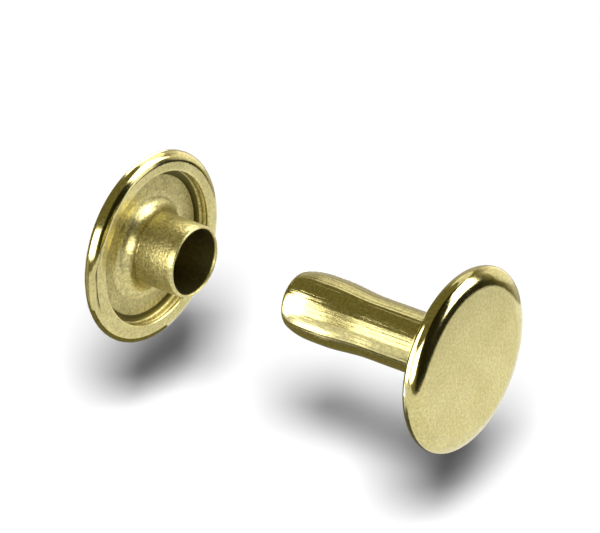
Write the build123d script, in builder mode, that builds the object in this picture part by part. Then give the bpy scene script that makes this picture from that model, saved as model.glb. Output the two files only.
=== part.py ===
"""Double-cap rivet for leather: its two halves, apart and in line, ready to be pushed together.

The rivet's axis is the X axis and +Z is up. The origin is the centre of the post cap's outer face,
which faces +X. The post runs along -X towards the socket, whose mouth faces it.

Every piece is pressed or drawn from sheet and is round. It is drawn in the profile plane of its half,
where the first coordinate is the distance inward from the cap's outer face and the second is the
radius, and is then turned about the rivet's axis.
"""
from build123d import *
from math import cos, radians, sin
import os

# Sheet
CAP_SHEET = 0.20  # caps
DRAWN_SHEET = 0.15  # post and socket, which are drawn thinner

# Post cap
POST_CAP_RADIUS = 4.40
POST_CAP_FLAT = 3.40  # radius of the flat face, inside its rolled edge
POST_CAP_CROWN = 0.45  # from the face to the widest circle
POST_CAP_DEPTH = 0.97  # from the face to the plane of the lip
POST_CAP_SHOULDER = 3.92  # radius where the flat of the lip begins
POST_CAP_OPENING = 3.45  # radius inside the lip

# Post
POST_REACH = 9.85  # from the cap's face to the tip of the nose
POST_FILLET = 0.45
SHANK_RADIUS = 1.45
SHANK_END = 5.30  # where the shank starts to swell into the bulb
BULB_RADIUS = 1.61
BULB_POSITION = 7.65
NOSE_FLAT = 1.07  # radius of the flat end of the nose
NOSE_ROUND = 0.35
NOSE_SLOPE = 20  # degrees, of the bulb where it meets the nose

# Socket cap
SOCKET_CAP_RADIUS = 4.75
SOCKET_CAP_FLAT = 3.29
SOCKET_CAP_CROWN = 0.62
SOCKET_CAP_DEPTH = 1.04
SOCKET_CAP_SHOULDER = 4.25
SOCKET_CAP_OPENING = 3.80

# Socket
BORE_CLEARANCE = 0.03  # round the bulb
BORE_RADIUS = BULB_RADIUS + BORE_CLEARANCE
TUBE_RADIUS = BORE_RADIUS + DRAWN_SHEET
TUBE_HEIGHT = 3.25  # from the cap's outer face to the mouth
TUBE_FILLET = 0.75
MOUTH_BACK = 0.30  # how far the rounding of the mouth runs back along the tube
MOUTH_IN = 0.11  # how far it runs inward

# Both halves
FLANGE_GAP = 0.04  # between a flange's floor and the inside of its cap
FLANGE_SETBACK = 0.05  # from the edge of the lip out to the upright wall of the flange
FLANGE_BEND = 0.17  # radius of the bend that hides under the lip
FLANGE_GRIP = 0.20  # width of the flat that the lip holds
HALVES_APART = 5.98  # from the tip of the nose to the mouth of the socket

SOCKET_FACE = -(POST_REACH + HALVES_APART + TUBE_HEIGHT)  # X of the socket cap's outer face


def profile_plane(face, inward):
    """The profile plane of a half whose cap has its outer face at X = face; inward is +1 or -1."""
    return Plane(origin=(face, 0, 0), x_dir=(inward, 0, 0), z_dir=(0, 0, 1))


def cap_skin(inset, radius, flat, crown, depth, shoulder):
    """One side of a cap's sheet, from the axis over the rim to the flat of the lip."""
    Line((inset, 0), (inset, flat))
    EllipticalCenterArc((crown, flat), crown - inset, radius - flat - inset, 180, arc_size=-90)
    EllipticalCenterArc((crown, shoulder), depth - crown - inset, radius - shoulder - inset, 90, arc_size=-90)


def cap_profile(radius, flat, crown, depth, shoulder, opening):
    """A shallow cup whose rim is turned in to a flat lip with a rounded edge."""
    edge = opening + CAP_SHEET / 2
    cap_skin(0, radius, flat, crown, depth, shoulder)
    Line((depth, shoulder), (depth, edge))
    CenterArc((depth - CAP_SHEET / 2, edge), CAP_SHEET / 2, 0, -180)
    Line((depth - CAP_SHEET, edge), (depth - CAP_SHEET, shoulder))
    cap_skin(CAP_SHEET, radius, flat, crown, depth, shoulder)
    Line((CAP_SHEET, 0), (0, 0))


def flange_side(inset, depth, opening, tube_radius, fillet):
    """One side of a dished flange: held under the lip, down in a cove to the cap's floor, up into the tube."""
    under_lip = depth - CAP_SHEET
    floor = CAP_SHEET + FLANGE_GAP + DRAWN_SHEET
    wall = under_lip - FLANGE_BEND
    cove = wall - floor
    flat = opening + FLANGE_SETBACK + FLANGE_BEND
    foot = opening + FLANGE_SETBACK - cove
    Line((under_lip - inset, flat + FLANGE_GRIP), (under_lip - inset, flat))
    CenterArc((wall, flat), FLANGE_BEND - inset, 0, -90)
    CenterArc((wall, foot), cove + inset, 90, 90)
    Line((floor - inset, foot), (floor - inset, tube_radius + fillet))
    CenterArc((floor + fillet, tube_radius + fillet), fillet + inset, 180, 90)


def flange_edge(depth, opening):
    """The cut edge of a flange, closing its two sides."""
    under_lip = depth - CAP_SHEET
    edge = opening + FLANGE_SETBACK + FLANGE_BEND + FLANGE_GRIP
    Line((under_lip, edge), (under_lip - DRAWN_SHEET, edge))


def post_side(inset):
    """One side of the post's sheet, from its fillet over the bulb to the middle of the nose."""
    shank_start = CAP_SHEET + FLANGE_GAP + DRAWN_SHEET + POST_FILLET
    slope = radians(NOSE_SLOPE)
    nose_centre = POST_REACH - NOSE_ROUND
    nose_radius = NOSE_ROUND - inset
    nose_start = (nose_centre + nose_radius * sin(slope), NOSE_FLAT + nose_radius * cos(slope))
    Line((shank_start, SHANK_RADIUS - inset), (SHANK_END, SHANK_RADIUS - inset))
    Spline(
        (SHANK_END, SHANK_RADIUS - inset),
        (BULB_POSITION, BULB_RADIUS - inset),
        nose_start,
        tangents=[(1, 0), (1, 0), (cos(slope), -sin(slope))],
    )
    CenterArc((nose_centre, NOSE_FLAT), nose_radius, 90 - NOSE_SLOPE, NOSE_SLOPE - 90)
    Line((POST_REACH - inset, NOSE_FLAT), (POST_REACH - inset, 0))


# Post cap, at the origin
with BuildPart() as post_cap:
    with BuildSketch(profile_plane(0, -1)):
        with BuildLine():
            cap_profile(
                POST_CAP_RADIUS,
                POST_CAP_FLAT,
                POST_CAP_CROWN,
                POST_CAP_DEPTH,
                POST_CAP_SHOULDER,
                POST_CAP_OPENING,
            )
        make_face()
    revolve(axis=Axis.X)

# Post: a closed tube with a flange, a shank and a bulb behind its nose
with BuildPart() as post:
    with BuildSketch(profile_plane(0, -1)):
        with BuildLine():
            for inset in (0, DRAWN_SHEET):
                flange_side(inset, POST_CAP_DEPTH, POST_CAP_OPENING, SHANK_RADIUS, POST_FILLET)
                post_side(inset)
            flange_edge(POST_CAP_DEPTH, POST_CAP_OPENING)
            Line((POST_REACH, 0), (POST_REACH - DRAWN_SHEET, 0))
        make_face()
    revolve(axis=Axis.X)

# Socket cap, facing the other way
with BuildPart() as socket_cap:
    with BuildSketch(profile_plane(SOCKET_FACE, 1)):
        with BuildLine():
            cap_profile(
                SOCKET_CAP_RADIUS,
                SOCKET_CAP_FLAT,
                SOCKET_CAP_CROWN,
                SOCKET_CAP_DEPTH,
                SOCKET_CAP_SHOULDER,
                SOCKET_CAP_OPENING,
            )
        make_face()
    revolve(axis=Axis.X)

# Socket: an eyelet, open at the mouth, with a flange like the post's
with BuildPart() as socket:
    with BuildSketch(profile_plane(SOCKET_FACE, 1)):
        with BuildLine():
            tube_start = CAP_SHEET + FLANGE_GAP + DRAWN_SHEET + TUBE_FILLET
            mouth_start = TUBE_HEIGHT - MOUTH_BACK
            for inset in (0, DRAWN_SHEET):
                flange_side(inset, SOCKET_CAP_DEPTH, SOCKET_CAP_OPENING, TUBE_RADIUS, TUBE_FILLET)
            flange_edge(SOCKET_CAP_DEPTH, SOCKET_CAP_OPENING)
            Line((tube_start, TUBE_RADIUS), (mouth_start, TUBE_RADIUS))
            EllipticalCenterArc((mouth_start, TUBE_RADIUS - MOUTH_IN), MOUTH_BACK, MOUTH_IN, 90, arc_size=-90)
            Line((TUBE_HEIGHT, TUBE_RADIUS - MOUTH_IN), (TUBE_HEIGHT, BORE_RADIUS))
            Line((TUBE_HEIGHT, BORE_RADIUS), (tube_start, BORE_RADIUS))
        make_face()
    revolve(axis=Axis.X)

pieces = {"post_cap": post_cap, "post": post, "socket_cap": socket_cap, "socket": socket}

os.makedirs("parts", exist_ok=True)
for name, piece in pieces.items():
    piece.part.label = name
    export_step(piece.part, f"parts/{name}.step")
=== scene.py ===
"""Looks of the double-cap rivet: four pieces of sheet brass, each turned about the rivet's axis.

Metres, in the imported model's frame: the rivet's axis is X, the post cap's outer face is at X = 0 and
faces +X, and the socket half is at -X. Each piece's sheet is drawn as a closed outline of points
(distance inward from its cap's outer face, radius), in millimetres.
"""

import math
import random

import bpy
from mathutils import Matrix, Vector


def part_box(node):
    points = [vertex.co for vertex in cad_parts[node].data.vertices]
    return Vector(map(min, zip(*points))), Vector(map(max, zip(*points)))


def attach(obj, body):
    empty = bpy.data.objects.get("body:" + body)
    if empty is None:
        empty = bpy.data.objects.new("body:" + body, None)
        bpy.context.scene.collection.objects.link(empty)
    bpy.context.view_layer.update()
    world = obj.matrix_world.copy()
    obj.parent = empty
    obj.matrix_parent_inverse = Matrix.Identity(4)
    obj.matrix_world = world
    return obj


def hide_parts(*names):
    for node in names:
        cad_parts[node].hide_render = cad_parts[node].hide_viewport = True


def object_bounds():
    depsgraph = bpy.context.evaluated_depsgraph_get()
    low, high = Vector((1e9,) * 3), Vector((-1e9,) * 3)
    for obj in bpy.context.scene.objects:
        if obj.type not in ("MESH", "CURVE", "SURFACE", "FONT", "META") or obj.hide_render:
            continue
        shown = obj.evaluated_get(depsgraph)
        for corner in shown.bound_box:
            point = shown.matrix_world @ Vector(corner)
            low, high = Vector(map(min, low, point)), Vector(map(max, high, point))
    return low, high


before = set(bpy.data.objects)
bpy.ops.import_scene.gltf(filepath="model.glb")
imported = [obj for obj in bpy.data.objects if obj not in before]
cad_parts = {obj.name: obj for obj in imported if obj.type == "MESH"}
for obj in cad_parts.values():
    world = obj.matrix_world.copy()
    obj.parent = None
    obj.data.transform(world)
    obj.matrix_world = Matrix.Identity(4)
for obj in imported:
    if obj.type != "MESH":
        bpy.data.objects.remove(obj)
cad_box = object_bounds()

MM = 0.001
TURN_STEPS = 360  # facets round the axis

# X of the caps' outer faces
POST_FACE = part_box("post_cap")[1][0]
SOCKET_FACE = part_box("socket_cap")[0][0]

# Sheet, in mm
CAP_SHEET = 0.20
DRAWN_SHEET = 0.15

# Both caps: distance inward from the outer face to the lip, and the radius inside the lip
POST_CAP_DEPTH = 0.97
POST_CAP_OPENING = 3.45
SOCKET_CAP_DEPTH = 1.04
SOCKET_CAP_OPENING = 3.80

# Both flanges
FLANGE_FLOOR = 0.39  # from the cap's outer face to the flange's floor
FLANGE_BEND = 0.17  # radius of the bend that hides under the lip
FLANGE_GRIP = 0.20  # width of the flat that the lip holds
FLANGE_SETBACK = 0.05  # from the edge of the lip out to the upright wall
CREVICE_WIDTH = 0.12  # painted shade on the floor, at the foot of the cove

# Post
POST_REACH = 9.85
POST_FILLET = 0.45
SHANK_RADIUS = 1.45
SHANK_END = 5.30
BULB_RADIUS = 1.61
BULB_POSITION = 7.65
NOSE_FLAT = 1.07  # radius of the flat end
NOSE_ROUND = 0.35
NOSE_SLOPE = 20  # degrees, of the bulb where it meets the nose

# Socket
BORE_RADIUS = 1.64
TUBE_RADIUS = BORE_RADIUS + DRAWN_SHEET
TUBE_HEIGHT = 3.25  # from the cap's outer face to the mouth
TUBE_FILLET = 0.75
MOUTH_BACK = 0.30  # how far the rounding of the mouth runs back along the tube
MOUTH_IN = 0.11  # how far it runs inward

# Polish: 0 on satin faces, 1 on burnished ones, and below 0 where shade is painted into the brass's colour
SATIN = 0.0
BURNISHED = 1.0
PAINTED_SHADE = -1.0
LIP_POLISH = 0.5
HEM_POLISH = 0.7  # edge of the lip
WALL_POLISH = 0.3  # top of a flange's cove
COVE_POLISH = 0.1
# Below 0: the flanges' floors get a little painted shade
FLOOR_POLISH = -0.22
FILLET_POLISH = 0.45
NOSE_POLISH = 0.6
MOUTH_POLISH = 0.3
# Below 0: painted shade down the socket's bore
BORE_POLISH = -0.75


# ---------------------------------------------------------------- outlines
# A point is (distance inward, radius, polish).

def line(start, end, steps, polish=SATIN):
    """Points from start up to, but without, end."""
    points = []
    for i in range(steps):
        t = i / steps
        points.append((start[0] + (end[0] - start[0]) * t, start[1] + (end[1] - start[1]) * t, polish))
    return points


def arc(centre, half_u, half_r, start, sweep, steps, polish=SATIN, polish_end=None):
    """Points of an ellipse's arc up to, but without, its end. Angles are in degrees from the inward axis."""
    points = []
    for i in range(steps):
        t = i / steps
        angle = math.radians(start + sweep * t)
        shine = polish if polish_end is None else polish + (polish_end - polish) * t
        points.append((centre[0] + half_u * math.cos(angle), centre[1] + half_r * math.sin(angle), shine))
    return points


def ease(start, end, start_slope, end_slope, steps, polish=SATIN):
    """Points of a cubic up to, but without, its end, with the given slopes of radius against distance."""
    points = []
    width = end[0] - start[0]
    for i in range(steps):
        t = i / steps
        radius = (
            (2 * t**3 - 3 * t**2 + 1) * start[1]
            + (t**3 - 2 * t**2 + t) * width * start_slope
            + (3 * t**2 - 2 * t**3) * end[1]
            + (t**3 - t**2) * width * end_slope
        )
        points.append((start[0] + width * t, radius, polish))
    return points


def cap_outline(radius, flat, crown, depth, shoulder, opening):
    """A shallow cup: flat to the radius flat, widest at the depth crown, its lip flat from shoulder in."""
    edge = opening + CAP_SHEET / 2
    hem_radius = CAP_SHEET / 2

    def skin(inset, polish):
        rim = (crown, flat), crown - inset, radius - flat - inset
        turned_in = (crown, shoulder), depth - crown - inset, radius - shoulder - inset
        return (
            line((inset, 0), (inset, flat), 12)
            + arc(*rim, 180, -16, 10, SATIN, polish)
            + arc(*rim, 164, -74, 26, polish)
            + arc(*turned_in, 90, -90, 18, polish)
        )

    outer = skin(0, BURNISHED) + line((depth, shoulder), (depth, edge), 6, LIP_POLISH)
    hem = arc((depth - hem_radius, edge), hem_radius, hem_radius, 0, -180, 14, HEM_POLISH)
    inner = skin(CAP_SHEET, SATIN) + [(depth - CAP_SHEET, shoulder, SATIN)]
    return outer + hem + [(depth - CAP_SHEET, edge, SATIN)] + inner[::-1]


def flange_side(inset, depth, opening, tube_radius, fillet):
    """A flange from its edge under the lip, down a cove to its floor and up its fillet."""
    under_lip = depth - CAP_SHEET
    wall = under_lip - FLANGE_BEND
    flat = opening + FLANGE_SETBACK + FLANGE_BEND
    bend = (wall, flat), FLANGE_BEND - inset, FLANGE_BEND - inset
    cove_radius = wall - FLANGE_FLOOR
    foot = opening + FLANGE_SETBACK - cove_radius
    cove = (wall, foot), cove_radius + inset, cove_radius + inset
    floor_u = FLANGE_FLOOR - inset
    crevice_end = foot - CREVICE_WIDTH
    fillet_r = tube_radius + fillet
    return (
        line((under_lip - inset, flat + FLANGE_GRIP), (under_lip - inset, flat), 3)
        + arc(*bend, 0, -90, 8)
        + arc(*cove, 90, 30, 8, WALL_POLISH, COVE_POLISH)
        # Painted shade: the cove darkens down to its foot, and the crevice on the floor is darkest
        + arc(*cove, 120, 18, 6, COVE_POLISH, PAINTED_SHADE)
        + arc(*cove, 138, 42, 10, PAINTED_SHADE)
        + line((floor_u, foot), (floor_u, crevice_end), 3, PAINTED_SHADE)
        # Painted shade: the floor is darkened a little
        + line((floor_u, crevice_end), (floor_u, fillet_r), 6, FLOOR_POLISH)
        + arc((FLANGE_FLOOR + fillet, fillet_r), fillet + inset, fillet + inset, 180, 90, 24, FILLET_POLISH)
    )


def post_outline():
    """A closed tube: its flange, shank, bulb and nose, down the outside and back up the inside."""

    def side(inset):
        slope = math.radians(NOSE_SLOPE)
        shank_start = (FLANGE_FLOOR + POST_FILLET, SHANK_RADIUS - inset)
        shank_end = (SHANK_END, SHANK_RADIUS - inset)
        bulb = (BULB_POSITION, BULB_RADIUS - inset)
        nose_radius = NOSE_ROUND - inset
        nose_centre = (POST_REACH - NOSE_ROUND, NOSE_FLAT)
        nose_start = (
            nose_centre[0] + nose_radius * math.sin(slope),
            nose_centre[1] + nose_radius * math.cos(slope),
        )
        tip = POST_REACH - inset
        return (
            flange_side(inset, POST_CAP_DEPTH, POST_CAP_OPENING, SHANK_RADIUS, POST_FILLET)
            + line(shank_start, shank_end, 10, BURNISHED)
            + ease(shank_end, bulb, 0, 0, 20, BURNISHED)
            + ease(bulb, nose_start, 0, -math.tan(slope), 18, BURNISHED)
            + arc(nose_centre, nose_radius, nose_radius, 90 - NOSE_SLOPE, NOSE_SLOPE - 90, 14, BURNISHED)
            + line((tip, NOSE_FLAT), (tip, 0), 4, NOSE_POLISH)
            + [(tip, 0, NOSE_POLISH)]
        )

    return side(0) + side(DRAWN_SHEET)[::-1]


def socket_outline():
    """An eyelet, open at its mouth: its flange and tube, up the outside and back down the bore."""
    start = FLANGE_FLOOR + TUBE_FILLET
    mouth_start = TUBE_HEIGHT - MOUTH_BACK
    mouth_radius = TUBE_RADIUS - MOUTH_IN
    flange = SOCKET_CAP_DEPTH, SOCKET_CAP_OPENING, TUBE_RADIUS, TUBE_FILLET
    outer = (
        flange_side(0, *flange)
        + line((start, TUBE_RADIUS), (mouth_start, TUBE_RADIUS), 12)
        + arc((mouth_start, mouth_radius), MOUTH_BACK, MOUTH_IN, 90, -90, 16, MOUTH_POLISH)
        + [(TUBE_HEIGHT, mouth_radius, MOUTH_POLISH)]
    )
    # Painted shade: the bore is darkened
    bore = line((start, BORE_RADIUS), (TUBE_HEIGHT, BORE_RADIUS), 12, BORE_POLISH)
    inner = flange_side(DRAWN_SHEET, *flange) + bore
    return outer + [(TUBE_HEIGHT, BORE_RADIUS, SATIN)] + inner[::-1]


# ---------------------------------------------------------------- meshes

def no_ripple(distance, angle):
    return 0.0


def turned(name, outline, face, inward, body, node, ripple=no_ripple):
    """Mesh of an outline turned about the rivet's axis, riding on its body in place of its CAD node."""
    rings, faces = [], []
    points, polish = [], []
    for u, r, shine in outline:
        x = face + inward * u * MM
        if r < 1e-6:
            rings.append([len(points)])
            points.append((x, 0, 0))
            polish.append(shine)
            continue
        rings.append(range(len(points), len(points) + TURN_STEPS))
        for k in range(TURN_STEPS):
            angle = 2 * math.pi * k / TURN_STEPS
            radius = (r + ripple(u, angle)) * MM
            points.append((x, radius * math.cos(angle), radius * math.sin(angle)))
            polish.append(shine)
    for a, b in zip(rings, rings[1:] + rings[:1]):
        if len(a) == len(b) == 1:
            continue
        for k in range(TURN_STEPS):
            j = (k + 1) % TURN_STEPS
            quad = [a[k % len(a)], a[j % len(a)], b[j % len(b)], b[k % len(b)]]
            quad = list(dict.fromkeys(quad))
            faces.append(quad[::-1] if inward > 0 else quad)
    mesh = bpy.data.meshes.new(name)
    mesh.from_pydata(points, [], faces)
    mesh.validate()
    mesh.attributes.new("polish", "FLOAT", "POINT").data.foreach_set("value", polish)
    for polygon in mesh.polygons:
        polygon.use_smooth = True
    piece = bpy.data.objects.new(name, mesh)
    bpy.context.collection.objects.link(piece)
    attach(piece, body)
    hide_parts(node)
    piece.visible_diffuse = False
    return piece


# Drawing the post leaves fine flutes along it, which fade out at the flange and on the nose
FLUTE_DEPTH = 0.020
FLUTES_START, FLUTES_FADE_IN = 0.6, 0.8
FLUTES_END, FLUTES_FADE_OUT = 9.55, 1.2
flutes = random.Random(7)
FLUTES = [
    (count, flutes.uniform(0.6, 1.0) * FLUTE_DEPTH / count**0.6, flutes.uniform(0, 2 * math.pi))
    for count in (5, 9, 13, 17, 22, 29, 37, 46, 58)
]


def post_ripple(distance, angle):
    """How far the flutes move the post's skin outward."""
    fade_in = min(1, max(0, (distance - FLUTES_START) / FLUTES_FADE_IN))
    fade_out = min(1, max(0, (FLUTES_END - distance) / FLUTES_FADE_OUT))
    return fade_in * fade_out * sum(size * math.sin(count * angle + phase) for count, size, phase in FLUTES)


post_cap = turned(
    "post_cap_shell",
    cap_outline(
        radius=4.40, flat=3.40, crown=0.45, depth=POST_CAP_DEPTH, shoulder=3.92, opening=POST_CAP_OPENING
    ),
    POST_FACE,
    -1,
    "post_half",
    "post_cap",
)
post = turned(
    "post_tube", post_outline(), POST_FACE, -1, "post_half", "post", ripple=post_ripple
)
socket_cap = turned(
    "socket_cap_shell",
    cap_outline(
        radius=4.75, flat=3.29, crown=0.62, depth=SOCKET_CAP_DEPTH, shoulder=4.25, opening=SOCKET_CAP_OPENING
    ),
    SOCKET_FACE,
    1,
    "socket_half",
    "socket_cap",
)
socket = turned("socket_tube", socket_outline(), SOCKET_FACE, 1, "socket_half", "socket")


# ---------------------------------------------------------------- materials

BRASS = (0.640, 0.573, 0.262, 1)
BRASS_DEEP = (0.430, 0.360, 0.125, 1)
# Painted shade: dark brass that the colour is mixed towards where polish is below 0, in the coves, on the
# flanges' floors and down the bore
BRASS_PAINTED_SHADE = (0.085, 0.070, 0.015, 1)

# Noise, in repeats per metre
SPECKLE_SCALE = 8000
MOTTLE_SCALE = 700
RIM_LINES_ACROSS = 26000
TUBE_LINES_ALONG = 400

# Noise, in repeats per radian round the axis
TUBE_LINES_ACROSS = 26
RIM_LINES_ALONG = 0.6

BUMP_HEIGHT = 1e-6  # metres per unit of grain or line depth


class Nodes:
    """A small helper that adds shader nodes to a tree and wires them."""

    def __init__(self, tree):
        self.tree = tree

    def add(self, kind, **settings):
        node = self.tree.nodes.new(kind)
        for key, value in settings.items():
            setattr(node, key, value)
        return node

    def feed(self, value, target):
        """Wire a socket's output to the target, or set the target to a constant."""
        if isinstance(value, bpy.types.NodeSocket):
            self.tree.links.new(value, target)
        else:
            target.default_value = value

    def maths(self, operation, a, b=None):
        node = self.add("ShaderNodeMath", operation=operation)
        self.feed(a, node.inputs[0])
        if b is not None:
            self.feed(b, node.inputs[1])
        return node.outputs[0]

    def mapped(self, value, low, high, to_low, to_high, interpolation="LINEAR"):
        node = self.add("ShaderNodeMapRange", clamp=True, interpolation_type=interpolation)
        self.feed(value, node.inputs["Value"])
        node.inputs["From Min"].default_value = low
        node.inputs["From Max"].default_value = high
        node.inputs["To Min"].default_value = to_low
        node.inputs["To Max"].default_value = to_high
        return node.outputs["Result"]

    def noise(self, vector, scale, detail, roughness):
        node = self.add("ShaderNodeTexNoise")
        node.inputs["Scale"].default_value = scale
        node.inputs["Detail"].default_value = detail
        node.inputs["Roughness"].default_value = roughness
        self.feed(vector, node.inputs["Vector"])
        return node.outputs["Fac"]

    def stretched(self, vector, scale, shift=(0, 0, 0)):
        node = self.add("ShaderNodeVectorMath", operation="MULTIPLY_ADD")
        self.feed(vector, node.inputs[0])
        self.feed(scale, node.inputs[1])
        self.feed(shift, node.inputs[2])
        return node.outputs["Vector"]

    def mix_colour(self, factor, a, b):
        node = self.add("ShaderNodeMix", data_type="RGBA")
        self.feed(factor, node.inputs["Factor"])
        self.feed(a, node.inputs["A"])
        self.feed(b, node.inputs["B"])
        return node.outputs["Result"]


def line_pattern(n, place, line_axis):
    """Noise drawn out into fine lines along the axis, or round it."""
    from_axis = n.stretched(place, (0, 1, 1))
    turn = n.add("ShaderNodeVectorMath", operation="NORMALIZE")
    n.feed(from_axis, turn.inputs[0])
    if line_axis == "along":
        across = (0, TUBE_LINES_ACROSS, TUBE_LINES_ACROSS)
        along = n.stretched(place, (TUBE_LINES_ALONG, 0, 0))
        return n.noise(n.stretched(turn.outputs["Vector"], across, along), 1, 3, 0.6)
    split = n.add("ShaderNodeSeparateXYZ")
    n.feed(place, split.inputs[0])
    radius = n.add("ShaderNodeVectorMath", operation="LENGTH")
    n.feed(from_axis, radius.inputs[0])
    rings = n.add("ShaderNodeCombineXYZ")
    n.feed(n.maths("MULTIPLY", split.outputs["X"], RIM_LINES_ACROSS), rings.inputs["X"])
    n.feed(n.maths("MULTIPLY", radius.outputs["Value"], RIM_LINES_ACROSS), rings.inputs["Y"])
    along = (0, RIM_LINES_ALONG, RIM_LINES_ALONG)
    return n.noise(n.stretched(turn.outputs["Vector"], along, rings.outputs["Vector"]), 1, 3, 0.6)


def brass(name, satin, polished, grain, freckle, line_axis, line_depth):
    """Brass by its polish: satin and grainy, burnished with fine lines, or darkened with painted shade.

    satin and polished are roughnesses, grain and line_depth are heights of bump, and freckle is how far
    the colour varies from speck to speck.
    """
    material = bpy.data.materials.new(name)
    material.use_nodes = True
    n = Nodes(material.node_tree)
    shader = n.tree.nodes["Principled BSDF"]
    place = n.add("ShaderNodeTexCoord").outputs["Object"]
    polish = n.add("ShaderNodeAttribute", attribute_name="polish").outputs["Fac"]
    lines = line_pattern(n, place, line_axis)
    speckle = n.noise(place, SPECKLE_SCALE, 1.5, 0.6)
    mottle = n.noise(place, MOTTLE_SCALE, 3, 0.6)

    # roughness
    line_wear = 0.03 * min(1, line_depth)
    rough = n.mapped(polish, 0, 1, satin, polished)
    rough = n.maths("ADD", rough, n.mapped(mottle, 0.3, 0.7, -0.035, 0.035))
    rough = n.maths("ADD", rough, n.mapped(lines, 0.3, 0.7, -line_wear, line_wear))
    n.feed(rough, shader.inputs["Roughness"])

    # colour
    deep = n.mapped(mottle, 0.25, 0.75, 0, 0.4)
    flecked = n.add("ShaderNodeVectorMath", operation="SCALE")
    n.feed(n.mix_colour(deep, BRASS, BRASS_DEEP), flecked.inputs["Vector"])
    n.feed(n.mapped(speckle, 0.2, 0.8, 1 - freckle, 1 + freckle * 0.6), flecked.inputs["Scale"])
    # Painted shade: polish below 0 mixes the colour towards the dark painted-shade brass
    painted_shade = n.mapped(polish, -1, 0, 1, 0)
    colour = n.mix_colour(painted_shade, flecked.outputs["Vector"], BRASS_PAINTED_SHADE)
    n.feed(colour, shader.inputs["Base Color"])
    shader.inputs["Metallic"].default_value = 1.0

    # bump
    grain_level = n.mapped(n.maths("ABSOLUTE", polish), 0, 0.6, grain, grain * 0.1)
    line_level = n.mapped(polish, 0, 1, line_depth * 0.1, line_depth)
    grain_height = n.maths("MULTIPLY", speckle, grain_level)
    line_height = n.maths("MULTIPLY", lines, line_level)
    bump = n.add("ShaderNodeBump")
    bump.inputs["Distance"].default_value = BUMP_HEIGHT
    n.feed(n.maths("ADD", grain_height, line_height), bump.inputs["Height"])
    n.feed(bump.outputs["Normal"], shader.inputs["Normal"])
    return material


cap_metal = brass(
    "cap_metal", satin=0.40, polished=0.12, grain=10.0, freckle=0.32, line_axis="round", line_depth=0.8
)
drawn_metal = brass(
    "drawn_metal", satin=0.36, polished=0.14, grain=5.0, freckle=0.35, line_axis="along", line_depth=9.0
)
eyelet_metal = brass(
    "eyelet_metal", satin=0.44, polished=0.16, grain=26.0, freckle=0.5, line_axis="along", line_depth=0.1
)
post_cap.data.materials.append(cap_metal)
socket_cap.data.materials.append(cap_metal)
post.data.materials.append(drawn_metal)
socket.data.materials.append(eyelet_metal)

paper = bpy.data.materials.new("paper")
paper.use_nodes = True
paper_shader = paper.node_tree.nodes["Principled BSDF"]
paper_shader.inputs["Base Color"].default_value = (0.9, 0.9, 0.9, 1)
paper_shader.inputs["Roughness"].default_value = 1.0
paper_shader.inputs["Specular IOR Level"].default_value = 0.0


# ---------------------------------------------------------------- floor and table
# The camera sees the floor, which takes the shadows. The metal reflects the table instead: paper just
# below the caps, with gaps where the metal in the photo reflects something dark.

FLOOR_Z = cad_box[0][2] - 5.3 * MM
TABLE_Z = cad_box[0][2] - 0.3 * MM

# Rectangles, each (x from, y from, x to, y to) in mm
FLOOR = [(-1000, -1000, 1000, 1000)]
TABLE = [
    (-45, -3.5, -20, 16),
    (-20, -30, -17.6, -7),
    (-20, 1, -17.6, 16),
    (-17.6, -30, -2.5, -3.6),
    (-17.6, 5, -2.5, 16),
    (-2.5, -30, 10.5, 16),
]


def sheet_of_paper(name, patches, height):
    """Flat sheet made of rectangles."""
    points, faces = [], []
    for x0, y0, x1, y1 in patches:
        faces.append(range(len(points), len(points) + 4))
        points += [(x * MM, y * MM, height) for x, y in ((x0, y0), (x1, y0), (x1, y1), (x0, y1))]
    mesh = bpy.data.meshes.new(name)
    mesh.from_pydata(points, [], faces)
    sheet = bpy.data.objects.new(name, mesh)
    bpy.context.collection.objects.link(sheet)
    sheet.data.materials.append(paper)
    return sheet


floor = sheet_of_paper("floor", FLOOR, FLOOR_Z)
floor.visible_glossy = False
floor.visible_shadow = False
table = sheet_of_paper("table", TABLE, TABLE_Z)
table.visible_camera = False
table.visible_diffuse = False
table.visible_shadow = False


# ---------------------------------------------------------------- lamps

UP = Vector((0, 0, 1))
CENTRE = Vector(((POST_FACE + SOCKET_FACE) / 2, 0, 0))
POST_HALF = [post_cap, post]
SOCKET_HALF = [socket_cap, socket]
SOFTBOX_DISTANCE = 90  # mm


def direction(azimuth, elevation):
    """Unit vector. Azimuth is in degrees from +X towards +Y."""
    a, e = math.radians(azimuth), math.radians(elevation)
    return Vector((math.cos(a) * math.cos(e), math.sin(a) * math.cos(e), math.sin(e)))


def panel(name, at, facing, width, height, radiance, lit):
    """Area lamp of a size in mm that lights only the given objects and is never seen by the camera."""
    data = bpy.data.lights.new(name, "AREA")
    data.shape = "RECTANGLE"
    data.size, data.size_y = width * MM, height * MM
    data.energy = radiance * math.pi * data.size * data.size_y
    light = bpy.data.objects.new(name, data)
    light.matrix_world = Matrix.Translation(at) @ facing.to_track_quat("-Z", "Y").to_matrix().to_4x4()
    light.visible_camera = False
    receivers = bpy.data.collections.new(name)
    for receiver in lit:
        receivers.objects.link(receiver)
    light.light_linking.receiver_collection = receivers
    bpy.context.collection.objects.link(light)
    return light


def piece_centre(piece):
    corners = [Vector(corner) for corner in piece.bound_box]
    return sum(corners, Vector()) / len(corners)


def span(angles, distance):
    """Length that fills a range of angles, in degrees, at a distance."""
    return 2 * distance * math.tan(math.radians((angles[1] - angles[0]) / 2))


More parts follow.
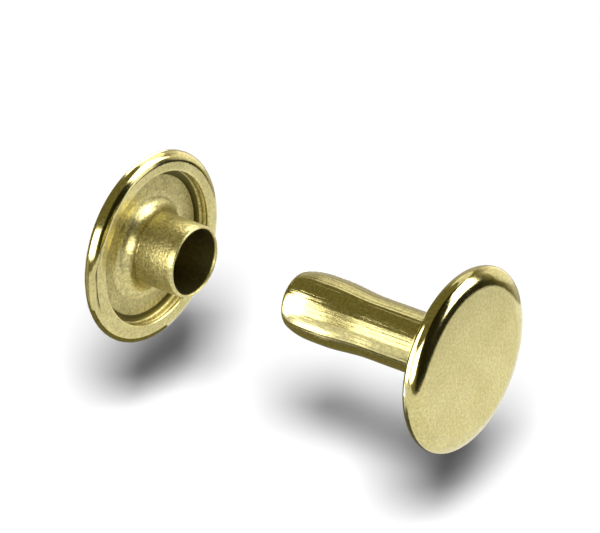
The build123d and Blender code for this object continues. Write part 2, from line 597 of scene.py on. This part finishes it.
def softbox(name, azimuths, elevations, radiance, lit):
    """Panel facing one half that fills a range of azimuths and elevations, in degrees, as seen from it."""
    azimuth, elevation = sum(azimuths) / 2, sum(elevations) / 2
    width = span(azimuths, SOFTBOX_DISTANCE) * math.cos(math.radians(elevation))
    height = span(elevations, SOFTBOX_DISTANCE)
    ray = direction(azimuth, elevation)
    target = sum((piece_centre(piece) for piece in lit), Vector()) / len(lit)
    panel(name, target + ray * SOFTBOX_DISTANCE * MM, -ray, width, height, radiance, lit)


# Cards beside and below the rivet
nose_card = panel("nose_card", Vector((-38.5, -26.0, -2.5)) * MM, Vector((1, 0, 0)), 30, 77, 6.0, POST_HALF)
nose_card.data.shape = "ELLIPSE"
panel("nose_low_card", Vector((-12.1, -6.6, -4.9)) * MM, UP, 4.4, 3.4, 5.0, POST_HALF)
panel("socket_card", Vector((-10.05 * MM, 0.7 * MM, TABLE_Z)), UP, 15.1, 8.6, 1.0, SOCKET_HALF)

# Soft boxes
softbox("streak_box", (-130, -116), (-6, 26), 3.2, POST_HALF)
softbox("post_front_box", (-103, -31), (-8, 30), 6.0, POST_HALF)
softbox("post_right_box", (25, 48), (-5, 30), 8.0, POST_HALF)
softbox("post_low_box", (60, 104), (-18, 12), 0.5, POST_HALF)
softbox("socket_front_box", (-134, -44), (2, 34), 5.0, SOCKET_HALF)
softbox("socket_low_right_box", (27, 43), (-11, 12), 1.7, SOCKET_HALF)
softbox("socket_low_box", (52, 100), (-14, 14), 0.55, SOCKET_HALF)
softbox("socket_right_box", (20, 64), (12, 60), 5.0, SOCKET_HALF)
softbox("post_back_box", (45, 138), (36, 60), 1.0, POST_HALF)
softbox("socket_back_box", (62, 118), (30, 64), 1.8, SOCKET_HALF)
softbox("socket_rear_box", (118, 156), (5, 54), 4.4, SOCKET_HALF)

# Lamps of the paper. The key lamp casts the shadows.
table_ray = direction(45, 47)
key_ray = direction(-51, 50.4)
panel("table_light", CENTRE + table_ray * 300 * MM, -table_ray, 60, 60, 126, [table])
panel("key", CENTRE + key_ray * 1500 * MM, -key_ray, 480, 480, 45.6, [floor])
panel("fill", UP * 400 * MM, -UP, 1600, 1600, 0.12, [floor, table])


# ---------------------------------------------------------------- world
# A room that lights nothing but what reflects it: dim, darker on the +X side and paler in places.

ROOM_LEVEL = 0.20
ROOM_DARKEST = 0.02

# (azimuth, elevation, inner angle, outer angle), in degrees, and for pale patches the light they add
DARK_PATCHES = [(6, 18, 24, 40), (22, -18, 26, 44)]
PALE_PATCHES = [((85, -2, 16, 32), 0.60), ((115, 10, 15, 40), 0.40), ((-130, -24, 16, 32), 0.30)]

# Dark metal in the photo is olive and bright metal is paler
DARK_TINT, DARK_TINT_LEVEL = (1, 0.90, 0.30, 1), 0.15
PALE_TINT, PALE_TINT_LEVEL = (1, 0.94, 0.80, 1), 0.55

world = bpy.data.worlds.new("studio")
bpy.context.scene.world = world
world.use_nodes = True
world.cycles_visibility.diffuse = False
room = Nodes(world.node_tree)
room_ray = room.add("ShaderNodeTexCoord").outputs["Generated"]


def room_patch(azimuth, elevation, inner, outer):
    """1 within the inner angle of a direction, easing to 0 at the outer angle."""
    dot = room.add("ShaderNodeVectorMath", operation="DOT_PRODUCT")
    room.feed(room_ray, dot.inputs[0])
    room.feed(direction(azimuth, elevation), dot.inputs[1])
    edge, full = math.cos(math.radians(outer)), math.cos(math.radians(inner))
    return room.mapped(dot.outputs["Value"], edge, full, 0, 1, "SMOOTHSTEP")


level = ROOM_LEVEL
for patch in DARK_PATCHES:
    level = room.maths("MULTIPLY", level, room.maths("SUBTRACT", 1, room_patch(*patch)))
level = room.maths("ADD", level, ROOM_DARKEST)
for patch, light in PALE_PATCHES:
    level = room.maths("ADD", level, room.maths("MULTIPLY", room_patch(*patch), light))
tint = room.mix_colour(room.mapped(level, DARK_TINT_LEVEL, PALE_TINT_LEVEL, 0, 1), DARK_TINT, PALE_TINT)
background = room.tree.nodes["Background"]
room.feed(level, background.inputs["Strength"])
room.feed(tint, background.inputs["Color"])


# ---------------------------------------------------------------- camera

CAMERA_AT = Vector((75.49, -109.94, 81.32)) * MM
CAMERA_AIM = Vector((-9.62, 0, 1.80)) * MM
CAMERA_ROLL = math.radians(1.38)  # clockwise
CAMERA_LENS = 210.25

camera_data = bpy.data.cameras.new("camera")
camera_data.sensor_width = 36
camera_data.lens = CAMERA_LENS
camera_data.clip_start, camera_data.clip_end = 0.01, 10
camera = bpy.data.objects.new("camera", camera_data)
look = (CAMERA_AT - CAMERA_AIM).to_track_quat("Z", "Y").to_matrix().to_4x4()
camera.matrix_world = Matrix.Translation(CAMERA_AT) @ look @ Matrix.Rotation(-CAMERA_ROLL, 4, "Z")
bpy.context.collection.objects.link(camera)
bpy.context.scene.camera = camera
bpy.context.scene.view_settings.view_transform = "Standard"
